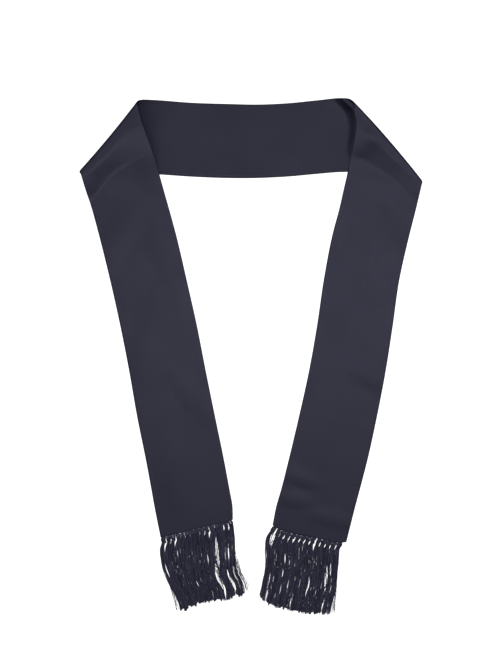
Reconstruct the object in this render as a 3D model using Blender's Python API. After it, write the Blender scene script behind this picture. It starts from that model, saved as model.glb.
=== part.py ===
"""Evening scarf of double silk satin with knotted fringes, laid flat as if it were round a neck.

One long strip of cloth makes a neck band and two hanging ends. At each shoulder the strip turns
over in a soft roll, so that the end lies on the band and then comes down on to the table.

Metres, +Z up. +X runs to the right of the scarf as seen from above, +Y from the fringes to the
neck band, and the origin is the middle of the whole scarf on the table that it lies on.
"""

import math
from collections import namedtuple

import bmesh
import bpy
import numpy as np
from mathutils import Matrix

# ---------------------------------------------------------------- the cloth and its laying out
CLOTH_THICK = 0.0012  # two plies of satin pressed together
SEAM_GAP = 0.0003  # between pieces that meet or lie on each other
LAYER_RISE = CLOTH_THICK + SEAM_GAP  # an upper layer over a lower one
EDGE_ROUND = CLOTH_THICK / 2
MIDDLE_X = 0.00048  # from the drawing's own zero to the middle of the finished scarf
MIDDLE_Y = -0.00017

# The band's two long edges between the folds. The left end of each comes from the left fold,
# the right end from the right fold.
EdgePoint = namedtuple("EdgePoint", "x y")
BAND_TOP = [
    EdgePoint(x=-0.1354, y=0.3744),
    EdgePoint(x=-0.0914, y=0.3711),
    EdgePoint(x=-0.0328, y=0.3694),
    EdgePoint(x=0.0112, y=0.3686),
    EdgePoint(x=0.0552, y=0.3706),
    EdgePoint(x=0.0992, y=0.3750),
    EdgePoint(x=0.1286, y=0.3776),
]
BAND_BOTTOM = [
    EdgePoint(x=-0.1340, y=0.2658),
    EdgePoint(x=-0.0914, y=0.2629),
    EdgePoint(x=-0.0328, y=0.2606),
    EdgePoint(x=0.0112, y=0.2607),
    EdgePoint(x=0.0552, y=0.2629),
    EdgePoint(x=0.0992, y=0.2669),
    EdgePoint(x=0.1286, y=0.2693),
    EdgePoint(x=0.1430, y=0.2696),
]

# A fold's crest runs from top to low. The roll has a radius at each of its two ends, and the
# strip's edge travels along the crest by wrap as it goes round the roll. The end stays up on a
# ridge beside the roll, and then falls to the layer below it over fall.
Fold = namedtuple(
    "Fold",
    "side top_x top_y low_x low_y swell roll_top roll_low wrap_top wrap_low"
    " ridge_top ridge_low fall_top fall_low",
)
FOLDS = {
    "left": Fold(
        side=-1,
        top_x=-0.1617,
        top_y=0.3789,
        low_x=-0.2525,
        low_y=0.2689,
        swell=-0.0017,
        roll_top=0.0038,
        roll_low=0.0041,
        wrap_top=0.0125,
        wrap_low=0.0060,
        ridge_top=0.0247,
        ridge_low=0.003,
        fall_top=0.048,
        fall_low=0.0355,
    ),
    "right": Fold(
        side=1,
        top_x=0.1387,
        top_y=0.3829,
        low_x=0.2528,
        low_y=0.2544,
        swell=0.0027,
        roll_top=0.0067,
        roll_low=0.00135,
        wrap_top=0.0235,
        wrap_low=0.0060,
        ridge_top=0.0205,
        ridge_low=0.0,
        fall_top=0.053,
        fall_low=0.0156,
    ),
}
ROLL_STRETCH = 1.15  # a roll is this much deeper than it is high
ROLL_STEPS = 4  # rows in each half of a roll
STEP_START = 0.006  # an end stays level this far past the band's lower edge
STEP_RUN = 0.034  # and then comes down on to the table over this distance

# Beside the right fold the band rises steeply off the table into the roll, from a foot line that
# shows. Beside the left fold it stands a little off the table along a brow, and goes down from
# there under the end that presses on it.
TuckFoot = namedtuple("TuckFoot", "y x slope")
TUCK_FOOT = [
    TuckFoot(y=0.2600, x=0.1405, slope=0.31),
    TuckFoot(y=0.3020, x=0.1400, slope=0.31),
    TuckFoot(y=0.3490, x=0.1385, slope=0.31),
    TuckFoot(y=0.3577, x=0.1351, slope=0.34),
    TuckFoot(y=0.3666, x=0.1272, slope=0.40),
    TuckFoot(y=0.3800, x=0.1150, slope=0.43),
]
TUCK_CURVE = 1.5  # 1 is a straight slope, and more is steeper towards the roll
TUCK_LOW = 0.272  # it starts from nothing at this height up the scarf
TUCK_FULL = 0.300
TUCK_BACK = 0.042  # under the end, back down to the table
BROW_X = -0.1295
BROW_SLOPE = 0.092
BROW_RUN = 0.080  # from the brow to where the band lies flat
BROW_UNDER = 0.003  # how far under the end the brow's slope goes on

# Each end's two long edges, at stations down its length. The top of each comes from the fold
# and the bottom from the hem.
Station = namedtuple("Station", "y inner outer")
END_STATIONS = {
    "left": [
        Station(y=0.3371, inner=-0.1574, outer=None),
        Station(y=0.3204, inner=-0.1509, outer=None),
        Station(y=0.2661, inner=-0.1340, outer=None),
        Station(y=0.2425, inner=-0.1274, outer=-0.2418),
        Station(y=0.2205, inner=-0.1212, outer=-0.2347),
        Station(y=0.1765, inner=-0.1092, outer=-0.2226),
        Station(y=0.1105, inner=-0.0938, outer=-0.2063),
        Station(y=0.0445, inner=-0.0790, outer=-0.1916),
        Station(y=-0.0215, inner=-0.0661, outer=-0.1786),
        Station(y=-0.0875, inner=-0.0527, outer=-0.1671),
        Station(y=-0.1535, inner=-0.0391, outer=-0.1538),
        Station(y=-0.1975, inner=-0.0309, outer=-0.1456),
        Station(y=-0.2195, inner=-0.0270, outer=-0.1417),
    ],
    "right": [
        Station(y=0.3428, inner=0.1533, outer=None),
        Station(y=0.3073, inner=0.1486, outer=None),
        Station(y=0.2630, inner=0.1404, outer=None),
        Station(y=0.2425, inner=0.1357, outer=0.2484),
        Station(y=0.2205, inner=0.1308, outer=0.2435),
        Station(y=0.1765, inner=0.1193, outer=0.2324),
        Station(y=0.1105, inner=0.1067, outer=0.2176),
        Station(y=0.0445, inner=0.0970, outer=0.2082),
        Station(y=-0.0215, inner=0.0853, outer=0.1979),
        Station(y=-0.0875, inner=0.0708, outer=0.1853),
        Station(y=-0.1535, inner=0.0551, outer=0.1709),
        Station(y=-0.1975, inner=0.0439, outer=0.1595),
        Station(y=-0.2195, inner=0.0375, outer=0.1536),
    ],
}
Hem = namedtuple("Hem", "inner_x inner_y outer_x outer_y")
HEMS = {
    "left": Hem(inner_x=-0.0265, inner_y=-0.2393, outer_x=-0.1324, outer_y=-0.2660),
    "right": Hem(inner_x=0.0318, inner_y=-0.2481, outer_x=0.1403, outer_y=-0.2720),
}
EDGE_LIFT = {"left": 0.0016, "right": 0.0009}  # an end's inner edge stands off the band
EDGE_LIFT_SHARE = 0.40  # of the width

# Soft ripples that raise the cloth: centre, half length and half width, the way that each
# runs (degrees from +X) and its height.
Ripple = namedtuple("Ripple", "x y half_length half_width turn height")
RIPPLES = [
    Ripple(x=-0.030, y=0.330, half_length=0.090, half_width=0.030, turn=8, height=0.0005),
    Ripple(x=0.060, y=0.292, half_length=0.080, half_width=0.028, turn=-14, height=0.0005),
    Ripple(x=-0.196, y=0.170, half_length=0.075, half_width=0.030, turn=60, height=0.0006),
    Ripple(x=-0.118, y=0.128, half_length=0.090, half_width=0.028, turn=108, height=0.0007),
    Ripple(x=-0.150, y=0.020, half_length=0.100, half_width=0.032, turn=75, height=0.0007),
    Ripple(x=-0.085, y=-0.058, half_length=0.068, half_width=0.026, turn=125, height=0.0007),
    Ripple(x=-0.115, y=-0.165, half_length=0.090, half_width=0.030, turn=95, height=0.0008),
    Ripple(x=0.205, y=0.165, half_length=0.082, half_width=0.030, turn=118, height=0.0007),
    Ripple(x=0.132, y=0.080, half_length=0.090, half_width=0.028, turn=70, height=0.0007),
    Ripple(x=0.172, y=-0.028, half_length=0.060, half_width=0.022, turn=150, height=0.0009),
    Ripple(x=0.100, y=-0.105, half_length=0.090, half_width=0.030, turn=82, height=0.0008),
    Ripple(x=0.072, y=-0.178, half_length=0.046, half_width=0.017, turn=160, height=0.0006),
    Ripple(x=0.064, y=-0.210, half_length=0.040, half_width=0.017, turn=172, height=0.0006),
    Ripple(x=0.118, y=-0.238, half_length=0.052, half_width=0.018, turn=-12, height=0.0005),
]

ACROSS = 10  # faces across the cloth
BAND_ROWS = 38
BAND_CROWDING = 0.6  # 0 spaces the band's rows evenly, and 1 crowds them towards the folds
BAND_FREE = 0.030  # a ripple of the band grows to its full height over this distance
END_ROWS = 46
FAN_SHARE = 0.45  # of an end's length, in which its rows turn from the crest to the hem

# ---------------------------------------------------------------- the fringes
# Down a fringe from the hem, its two sides are at these distances along the hem's line. Its
# locks reach furthest at each share of its width, and it opens in partings.
Sides = namedtuple("Sides", "down near far")
Reach = namedtuple("Reach", "place long")
Parting = namedtuple("Parting", "place start end wide")
Fringe = namedtuple("Fringe", "tassels sides reaches partings")
FRINGES = {
    "left": Fringe(
        tassels=15,
        sides=[
            Sides(down=0.000, near=-0.0002, far=0.1085),
            Sides(down=0.007, near=-0.0007, far=0.1092),
            Sides(down=0.016, near=-0.0055, far=0.1078),
            Sides(down=0.029, near=-0.0080, far=0.1056),
            Sides(down=0.047, near=-0.0081, far=0.1014),
            Sides(down=0.065, near=-0.0058, far=0.0998),
            Sides(down=0.082, near=-0.0026, far=0.0995),
            Sides(down=0.092, near=0.0002, far=0.1005),
            Sides(down=0.113, near=0.0012, far=0.0995),
        ],
        reaches=[
            Reach(place=0.00, long=0.1125),
            Reach(place=0.06, long=0.1128),
            Reach(place=0.18, long=0.1095),
            Reach(place=0.41, long=0.1096),
            Reach(place=0.61, long=0.1108),
            Reach(place=0.78, long=0.1135),
            Reach(place=0.84, long=0.1085),
            Reach(place=0.94, long=0.1125),
            Reach(place=1.00, long=0.1094),
        ],
        partings=[
            Parting(place=0.733, start=0.018, end=0.130, wide=0.0052),
            Parting(place=0.866, start=0.066, end=0.150, wide=0.0046),
            Parting(place=0.934, start=0.028, end=0.080, wide=0.0026),
            Parting(place=0.067, start=0.004, end=0.030, wide=0.0040),
            Parting(place=0.333, start=0.080, end=0.140, wide=0.0020),
        ],
    ),
    "right": Fringe(
        tassels=14,
        sides=[
            Sides(down=0.000, near=-0.0006, far=0.1067),
            Sides(down=0.007, near=-0.0018, far=0.1060),
            Sides(down=0.016, near=-0.0048, far=0.1049),
            Sides(down=0.025, near=-0.0054, far=0.1062),
            Sides(down=0.038, near=-0.0026, far=0.1078),
            Sides(down=0.055, near=0.0010, far=0.1100),
            Sides(down=0.073, near=0.0024, far=0.1122),
            Sides(down=0.091, near=0.0038, far=0.1108),
            Sides(down=0.117, near=0.0044, far=0.1112),
        ],
        reaches=[
            Reach(place=0.00, long=0.1065),
            Reach(place=0.07, long=0.1101),
            Reach(place=0.16, long=0.1145),
            Reach(place=0.26, long=0.1164),
            Reach(place=0.39, long=0.1168),
            Reach(place=0.66, long=0.1162),
            Reach(place=0.82, long=0.1125),
            Reach(place=1.00, long=0.1080),
        ],
        partings=[
            Parting(place=0.071, start=0.002, end=0.032, wide=0.0052),
            Parting(place=0.857, start=0.036, end=0.090, wide=0.0044),
            Parting(place=0.643, start=0.004, end=0.028, wide=0.0028),
            Parting(place=0.143, start=0.070, end=0.150, wide=0.0020),
            Parting(place=0.357, start=0.006, end=0.026, wide=0.0020),
        ],
    ),
}
FRINGE_RAGGED = 0.0025  # how far a lock's end may fall short
RAGGED_TURN = 7.0  # radians from one lock's shortness to the next one's
STRIP_WIDE = 0.0016  # the bound edge that the tassels are tied into
STRIP_THICK = 0.0011
LEG_WIDE = 0.00144
LEG_THICK = 0.0009
LEG_SPREAD = 0.0022  # from a tassel's middle line, at the strip
LEG_TIED = 0.00124  # and in the knot
KNOT_DOWN = 0.0068  # a knot's middle, below the cloth's edge
KNOT_WIDE = 0.0062
KNOT_LONG = 0.0062
KNOT_HIGH = 0.0034
KNOT_SEGMENTS = 8
KNOT_RINGS = 5
LOCKS = 6  # in each tassel, turn about in a lower and an upper layer
LOCK_WIDE = 0.00150
LOCK_HIGH = 0.00095
LOCK_TIP = 0.65  # of a lock's width, at its tip
LOCK_STEPS = 5
LOCK_CLEAR = 0.0003  # over the table, and between the layers
LOCK_ROOT_SPREAD = 0.42  # of a tassel's share of the fringe, at the knot
LOCK_OPEN = 0.024  # a tassel has its whole share from here down
ROOT_LEVELS = (0.00085, 0.00187)  # of the lower and the upper locks, in the knot
LOCK_SWAY = 0.0009
SWAY_LENGTH = 0.070
SWAY_TURN = 1.7  # radians from one tassel's sway to the next one's
LOCK_LONG = 0.110
PARTING_REACH = 0.060  # how fast a parting dies out, as a share of the fringe


def eased(t):
    """0 to 1 with level ends, for t from 0 to 1."""
    t = np.clip(t, 0.0, 1.0)
    return t * t * (3.0 - 2.0 * t)


def mixed(a, b, t):
    return a + (b - a) * t


def curve_at(knots, values, at):
    """The smooth curve through the points (knots, values), read at each place in at."""
    knots, values = np.asarray(knots, float), np.asarray(values, float)
    slopes = np.gradient(values, knots)
    at = np.clip(np.asarray(at, float), knots[0], knots[-1])
    i = np.clip(np.searchsorted(knots, at) - 1, 0, len(knots) - 2)
    span = knots[i + 1] - knots[i]
    t = (at - knots[i]) / span
    rise = eased(t)
    start = t * (1 - t) ** 2 * span * slopes[i]
    end = -(t**2) * (1 - t) * span * slopes[i + 1]
    return mixed(values[i], values[i + 1], rise) + start + end


# ---------------------------------------------------------------- where the cloth lies
def fold_axes(fold):
    """(top of the crest, unit vector down the crest, unit vector in from it, crest length)."""
    top = np.array([fold.top_x, fold.top_y])
    crest = np.array([fold.low_x, fold.low_y]) - top
    length = np.linalg.norm(crest)
    crest = crest / length
    inward = fold.side * np.array([crest[1], -crest[0]])
    return top, crest, inward, length


def roll_point(fold, share, turn):
    """A point of the cloth's middle surface on a roll. share runs from the crest's top to its
    low end, and turn from -pi/2, where the band leaves the table, to pi/2 on top."""
    top, crest, inward, length = fold_axes(fold)
    done = turn / math.pi + 0.5
    first = fold.wrap_top * done
    last = length - fold.wrap_low * (1 - done)
    down = mixed(first, last, share)
    t = down / length
    radius = mixed(fold.roll_top, fold.roll_low, t)
    swell = fold.swell * 4 * t * (1 - t)
    deep = CLOTH_THICK / 2 + ROLL_STRETCH * radius * (1 - np.cos(turn)) - swell
    plan = top + np.multiply.outer(down, crest) + np.multiply.outer(deep, inward)
    z = CLOTH_THICK / 2 + radius * (1 + np.sin(turn))
    return np.concatenate([plan, np.asarray(z)[..., None]], axis=-1)


def band_edge(points, start, end, x):
    """The height of one long edge of the band at x, between its ends on the two folds."""
    xs = [start[0], *[p.x for p in points], end[0]]
    ys = [start[1], *[p.y for p in points], end[1]]
    return curve_at(xs, ys, x)


def band_corner(side, share):
    """Where one edge of the band leaves the table at a fold."""
    return roll_point(FOLDS[side], share, -math.pi / 2)[:2]


def band_bottom_at(x):
    return band_edge(BAND_BOTTOM, band_corner("left", 1.0), band_corner("right", 1.0), x)


def ripple_height(x, y):
    """How far the ripples raise the cloth at a place."""
    total = np.zeros_like(x)
    for r in RIPPLES:
        turn = math.radians(r.turn)
        along = (x - r.x) * math.cos(turn) + (y - r.y) * math.sin(turn)
        aside = -(x - r.x) * math.sin(turn) + (y - r.y) * math.cos(turn)
        away = (along / r.half_length) ** 2 + (aside / r.half_width) ** 2
        total += r.height * (1 - np.clip(away, 0.0, 1.0)) ** 2
    return total


def tuck_height(plan):
    """How far the lower layer has risen off the table towards the right fold."""
    heights = [foot.y for foot in TUCK_FOOT]
    foot = curve_at(heights, [foot.x for foot in TUCK_FOOT], plan[..., 1])
    slope = curve_at(heights, [foot.slope for foot in TUCK_FOOT], plan[..., 1])
    run = curve_at(*end_edge("right", "inner"), plan[..., 1]) - foot
    high = slope * run * eased((plan[..., 1] - TUCK_LOW) / (TUCK_FULL - TUCK_LOW))
    into = plan[..., 0] - foot
    rise = np.clip(into / run, 0.0, 1.0) ** TUCK_CURVE
    return high * rise * (1 - eased((into - run) / TUCK_BACK))


def brow_height(plan):
    """How far the band stands off the table beside the left fold."""
    run = BROW_X - curve_at(*end_edge("left", "inner"), plan[..., 1]) + BROW_UNDER
    aside = plan[..., 0] - BROW_X
    shape = np.where(aside < 0, eased(1 + aside / run), eased(1 - aside / BROW_RUN))
    return BROW_SLOPE * run * shape


def end_height(side, plan, share):
    """The middle surface's height on an end, over the roll, the band and then the table."""
    fold = FOLDS[side]
    top, crest, inward, length = fold_axes(fold)
    down = (plan - top) @ crest
    t = np.clip(down / length, 0.0, 1.0)
    deep = (plan - top) @ inward + fold.swell * 4 * t * (1 - t)
    radius = mixed(fold.roll_top, fold.roll_low, t)
    start = CLOTH_THICK / 2 + ROLL_STRETCH * radius + mixed(fold.ridge_top, fold.ridge_low, t)
    on_roll = 1 - eased((deep - start) / mixed(fold.fall_top, fold.fall_low, t))
    past_band = band_bottom_at(plan[..., 0]) - plan[..., 1] - STEP_START
    on_band = 1 - eased(past_band / STEP_RUN)
    near_inner = 1 - eased(share / EDGE_LIFT_SHARE)
    lift = EDGE_LIFT[side] * near_inner * (1 - eased(past_band / (2 * STEP_RUN)))
    rest = LAYER_RISE * on_band + lift + ripple_height(plan[..., 0], plan[..., 1])
    if side == "right":
        rest = rest + tuck_height(plan)
    return CLOTH_THICK / 2 + mixed(rest, 2 * radius, on_roll)


# ---------------------------------------------------------------- grids of the middle surface
def shares_across(width):
    """Shares of the width for a row: its two outlines, and the points just inside them."""
    inset = EDGE_ROUND / width
    inner = np.linspace(inset, 1 - inset, ACROSS - 1)
    return np.concatenate([[0.0], inner, [1.0]])


def crest_turn(fold, share):
    """The small turn that leaves half a seam's gap at the crest."""
    radius = mixed(fold.roll_top, fold.roll_low, share)
    return np.arcsin(SEAM_GAP / 2 / radius)


def raised_roll(side, share, turn):
    """A row of the roll that starts from the raised lower layer."""
    row = roll_point(FOLDS[side], share, turn)
    if side == "right":
        foot = roll_point(FOLDS[side], share, -math.pi / 2)
        row[..., 2] += tuck_height(foot) * (1 - np.sin(turn)) / 2
    return row


def roll_rows(side, share, sign):
    """Rows of a roll from the crest to where it meets the flat cloth, below or above."""
    rows = []
    for step in range(ROLL_STEPS):
        turn = sign * mixed(crest_turn(FOLDS[side], share), math.pi / 2, step / ROLL_STEPS)
        rows.append(raised_roll(side, share, turn))
    return rows


def band_grid():
    """Rows of the neck band, from the left crest to the right one."""
    share = shares_across(band_width())
    rows = roll_rows("left", share, -1)
    for step in range(BAND_ROWS + 1):
        p = step / BAND_ROWS
        p = mixed(p, (1 - math.cos(math.pi * p)) / 2, BAND_CROWDING)
        ends = []
        for edge, place in ((BAND_TOP, 0.0), (BAND_BOTTOM, 1.0)):
            start, end = band_corner("left", place), band_corner("right", place)
            x = mixed(start[0], end[0], p)
            ends.append([x, float(band_edge(edge, start, end, x))])
        plan = mixed(np.array(ends[0]), np.array(ends[1]), share[:, None])
        raised = ripple_height(plan[:, 0], plan[:, 1]) * band_shows(plan)
        raised = raised + tuck_height(plan) + brow_height(plan)
        rows.append(np.column_stack([plan, CLOTH_THICK / 2 + raised]))
    rows += roll_rows("right", share, -1)[::-1]
    return np.array(rows)


def band_width():
    middle = len(BAND_TOP) // 2
    return BAND_TOP[middle].y - BAND_BOTTOM[middle].y


def band_shows(plan):
    """1 where the band is open to view, falling to 0 under the two ends."""
    left = plan[:, 0] - curve_at(*end_edge("left", "inner"), plan[:, 1])
    right = curve_at(*end_edge("right", "inner"), plan[:, 1]) - plan[:, 0]
    return eased(left / BAND_FREE) * eased(right / BAND_FREE)


def end_edge(side, which):
    """(heights, places) down one long edge of an end, from bottom to top as curve_at needs."""
    share = 0.0 if which == "inner" else 1.0
    top = roll_point(FOLDS[side], share, math.pi / 2)
    hem = HEMS[side]
    bottom = (getattr(hem, which + "_y"), getattr(hem, which + "_x"))
    middle = [(s.y, getattr(s, which)) for s in END_STATIONS[side]]
    middle = [pair for pair in middle if pair[1] is not None]
    pairs = sorted([(top[1], top[0]), *middle, bottom])
    return [pair[0] for pair in pairs], [pair[1] for pair in pairs]


def end_grid(side):
    """Rows of an end, from the crest to the hem."""
    share = shares_across(band_width())
    rows = roll_rows(side, share, 1)
    inner, outer = end_edge(side, "inner"), end_edge(side, "outer")
    inner_top, inner_low = inner[0][-1], inner[0][0]
    outer_top, outer_low = outer[0][-1], outer[0][0]
    for step in range(END_ROWS + 1):
        p = step / END_ROWS
        outer_y = mixed(outer_top, outer_low, p)
        slant_at_hem = inner_low - outer_low
        slant_at_fold = inner_top - outer_top
        slant = mixed(slant_at_fold, slant_at_hem, eased(p / FAN_SHARE))
        inner_y = outer_y + slant
        ends = [
            [float(curve_at(*inner, inner_y)), inner_y],
            [float(curve_at(*outer, outer_y)), outer_y],
        ]
        plan = mixed(np.array(ends[0]), np.array(ends[1]), share[:, None])
        rows.append(np.column_stack([plan, end_height(side, plan, share)]))
    return np.array(rows)


# ---------------------------------------------------------------- solids
def dark_satin(name, colour, roughness):
    material = bpy.data.materials.new(name)
    material.use_nodes = True
    shader = material.node_tree.nodes["Principled BSDF"]
    shader.inputs["Base Color"].default_value = (*colour, 1.0)
    shader.inputs["Roughness"].default_value = roughness
    shader.inputs["Metallic"].default_value = 0.0
    material.diffuse_color = (*colour, 1.0)
    return material


def object_from(bm, name, material, sharp_degrees=50):
    bmesh.ops.recalc_face_normals(bm, faces=bm.faces)
    mesh = bpy.data.meshes.new(name)
    bm.to_mesh(mesh)
    bm.free()
    mesh.shade_smooth()
    mesh.set_sharp_from_angle(angle=math.radians(sharp_degrees))
    obj = bpy.data.objects.new(name, mesh)
    obj.data.materials.append(material)
    bpy.context.scene.collection.objects.link(obj)
    return obj


def surface_normals(grid):
    """The upward side's unit normal at each point of a grid of rows."""
    along = np.gradient(grid, axis=0, edge_order=2)
    across = np.gradient(grid, axis=1, edge_order=2)
    normal = np.cross(along, across)
    normal /= np.linalg.norm(normal, axis=2, keepdims=True)
    return normal


def cloth_wall(name, grid, material):
    """A closed wall of cloth round a grid of its middle surface, with rounded long edges."""
    normal = surface_normals(grid) * CLOTH_THICK / 2
    bm = bmesh.new()
    rings = []
    for middle, offset in zip(grid, normal):
        over = middle[1:-1] + offset[1:-1]
        under = middle[1:-1] - offset[1:-1]
        ring = [middle[0], *over, middle[-1], *under[::-1]]
        rings.append([bm.verts.new(point) for point in ring])
    around = len(rings[0])
    for ring, following in zip(rings, rings[1:]):
        for i in range(around):
            j = (i + 1) % around
            bm.faces.new((ring[i], ring[j], following[j], following[i]))
    for ring in (rings[0], rings[-1]):
        for i in range(1, around // 2 - 1):
            bm.faces.new((ring[i], ring[i + 1], ring[-i - 1], ring[-i]))
        for tip, beside, other in ((0, 1, around - 1), (around // 2, around // 2 - 1, around // 2 + 1)):
            bm.faces.new((ring[tip], ring[beside], ring[other]))
    return object_from(bm, name, material)


# ---------------------------------------------------------------- the fringes
def hem_axes(side):
    """(start of the hem on its left, unit vector along it, unit vector down the fringe)."""
    hem = HEMS[side]
    ends = sorted([(hem.inner_x, hem.inner_y), (hem.outer_x, hem.outer_y)])
    start, end = np.array(ends[0]), np.array(ends[1])
    along = (end - start) / np.linalg.norm(end - start)
    return start, along, np.array([along[1], -along[0]]), np.linalg.norm(end - start)


def fringe_sides(side, down):
    """The places along the hem's line of a fringe's two sides, this far down it."""
    rows = FRINGES[side].sides
    downs = [row.down for row in rows]
    near = curve_at(downs, [row.near for row in rows], down)
    far = curve_at(downs, [row.far for row in rows], down)
    return near, far


def fringe_place(side, place, down):
    """Plan position of a strand at a share of the fringe's width and a distance down."""
    start, along, drop, _ = hem_axes(side)
    near, far = fringe_sides(side, down)
    for parting in FRINGES[side].partings:
        middle = (parting.start + parting.end) / 2
        reach = (parting.end - parting.start) / 2
        open_here = eased(1 - abs(down - middle) / reach) * parting.wide
        apart = place - parting.place
        push = math.copysign(open_here / 2, apart) * math.exp(-abs(apart) / PARTING_REACH)
        place = place + push / (far - near)
    inset = LOCK_WIDE / 2
    return start + along * mixed(near + inset, far - inset, place) + drop * down


def strand(points, wide, high, tip):
    """A three-sided strand with a level underside along points of its lower middle line."""
    bm = bmesh.new()
    rings = []
    for i, point in enumerate(points):
        before, after = points[max(i - 1, 0)], points[min(i + 1, len(points) - 1)]
        run = (after - before)[:2] / np.linalg.norm((after - before)[:2])
        aside = np.array([-run[1], run[0], 0.0])
        share = mixed(1.0, tip, i / (len(points) - 1))
        half, top = aside * wide * share / 2, np.array([0, 0, high * share])
        rings.append([bm.verts.new(p) for p in (point - half, point + half, point + top)])
    for ring, following in zip(rings, rings[1:]):
        for i in range(3):
            j = (i + 1) % 3
            bm.faces.new((ring[i], ring[j], following[j], following[i]))
    bm.faces.new(rings[0])
    bm.faces.new(rings[-1])
    return bm


def knot(centre, turn):
    bm = bmesh.new()
    bmesh.ops.create_uvsphere(bm, u_segments=KNOT_SEGMENTS, v_segments=KNOT_RINGS, radius=0.5)
    bmesh.ops.scale(bm, vec=(KNOT_WIDE, KNOT_LONG, KNOT_HIGH), verts=bm.verts)
    bmesh.ops.rotate(bm, verts=bm.verts, matrix=turn)
    bmesh.ops.translate(bm, vec=centre, verts=bm.verts)
    return bm


def hem_strip(side, material):
    """The narrow bound edge, 0.3 mm below the cloth's own."""
    start, along, drop, _ = hem_axes(side)
    first, last = fringe_sides(side, 0.0)
    bm = bmesh.new()
    corners = []
    for down in (SEAM_GAP, SEAM_GAP + STRIP_WIDE):
        for place in (first, last):
            plan = start + along * place + drop * down
            corners += [(*plan, LOCK_CLEAR), (*plan, LOCK_CLEAR + STRIP_THICK)]
    verts = [bm.verts.new(c) for c in corners]
    bmesh.ops.convex_hull(bm, input=verts)
    return object_from(bm, side + "_fringe", material)


def tassel_strands(side, index):
    """The strands of one tassel: two legs into its knot, and the locks out of it."""
    fringe = FRINGES[side]
    _, along, drop, _ = hem_axes(side)
    share = 1.0 / fringe.tassels
    reach_places = [reach.place for reach in fringe.reaches]
    reach_longs = [reach.long for reach in fringe.reaches]
    middle = (index + 0.5) * share
    knot_at = fringe_place(side, middle, KNOT_DOWN)
    for hand in (-1, 1):
        foot = fringe_place(side, middle, 0.0) + along * hand * LEG_SPREAD
        foot = foot + drop * (SEAM_GAP + STRIP_WIDE / 2)
        head = knot_at + along * hand * LEG_TIED
        rise = KNOT_HIGH / 2 - LEG_THICK / 2
        points = [np.array([*foot, LOCK_CLEAR]), np.array([*head, LOCK_CLEAR + rise])]
        yield strand(points, LEG_WIDE, LEG_THICK, 1.0)
    for lock in range(LOCKS):
        offset = (lock + 0.5) / LOCKS - 0.5
        upper = lock % 2
        short = FRINGE_RAGGED * (0.5 + 0.5 * math.sin(RAGGED_TURN * (LOCKS * index + lock)))
        longest = curve_at(reach_places, reach_longs, middle + offset * share)
        points = []
        for step in range(LOCK_STEPS + 1):
            down = mixed(KNOT_DOWN, longest - short, step / LOCK_STEPS)
            spread = mixed(LOCK_ROOT_SPREAD, 1.0, eased((down - KNOT_DOWN) / LOCK_OPEN))
            plan = fringe_place(side, middle + offset * share * spread, down)
            phase = SWAY_TURN * index + math.tau * down / SWAY_LENGTH
            sway = LOCK_SWAY * math.sin(phase) * eased(down / LOCK_LONG)
            level = LOCK_CLEAR + upper * (LOCK_HIGH + LOCK_CLEAR)
            root = 1 - eased((down - KNOT_DOWN) / (LOCK_OPEN / 2))
            z = mixed(level, ROOT_LEVELS[upper], root)
            points.append(np.array([*(plan + along * sway), z]))
        yield strand(points, LOCK_WIDE, LOCK_HIGH, LOCK_TIP)


def make_fringe(side, material):
    """One fringe: the strip with every knot, leg and lock joined to it as a single body."""
    strip = hem_strip(side, material)
    helpers = bpy.data.collections.new(side + "_fringe_pieces")
    bpy.context.scene.collection.children.link(helpers)
    helpers.hide_render = True
    _, along, _, _ = hem_axes(side)
    turn = Matrix(((along[0], -along[1], 0), (along[1], along[0], 0), (0, 0, 1)))
    count = FRINGES[side].tassels
    for index in range(count):
        at = fringe_place(side, (index + 0.5) / count, KNOT_DOWN)
        pieces = [knot((*at, LOCK_CLEAR + KNOT_HIGH / 2), turn), *tassel_strands(side, index)]
        for bm in pieces:
            piece = object_from(bm, side + "_fringe_piece", material)
            bpy.context.scene.collection.objects.unlink(piece)
            helpers.objects.link(piece)
            piece.hide_render = True
            piece.display_type = "WIRE"
    join = strip.modifiers.new("join", "BOOLEAN")
    join.operation = "UNION"
    join.operand_type = "COLLECTION"
    join.collection = helpers
    join.solver = "EXACT"
    return strip


def main():
    for obj in list(bpy.data.objects):
        bpy.data.objects.remove(obj)
    satin = dark_satin("midnight_satin", (0.036, 0.037, 0.056), 0.45)
    silk = dark_satin("midnight_fringe_silk", (0.020, 0.020, 0.033), 0.55)
    pieces = [cloth_wall("neck_band", band_grid(), satin)]
    for side in ("left", "right"):
        pieces.append(cloth_wall(side + "_end", end_grid(side), satin))
        pieces.append(make_fringe(side, silk))
    for piece in bpy.data.objects:
        piece.location = (-MIDDLE_X, -MIDDLE_Y, 0.0)


main()
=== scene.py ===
"""An evening scarf of midnight blue silk with knotted fringes, laid flat as if it were worn.

The sections follow the scarf as it is made and laid: the cloth, the fringes, and then the table,
the light and the camera straight above. Metres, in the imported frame: +X to the right, +Y from
the fringes to the neck, +Z up from the table.
"""

import math
from collections import namedtuple
from functools import partial, reduce

import bpy
import numpy as np
from mathutils import Matrix


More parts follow.
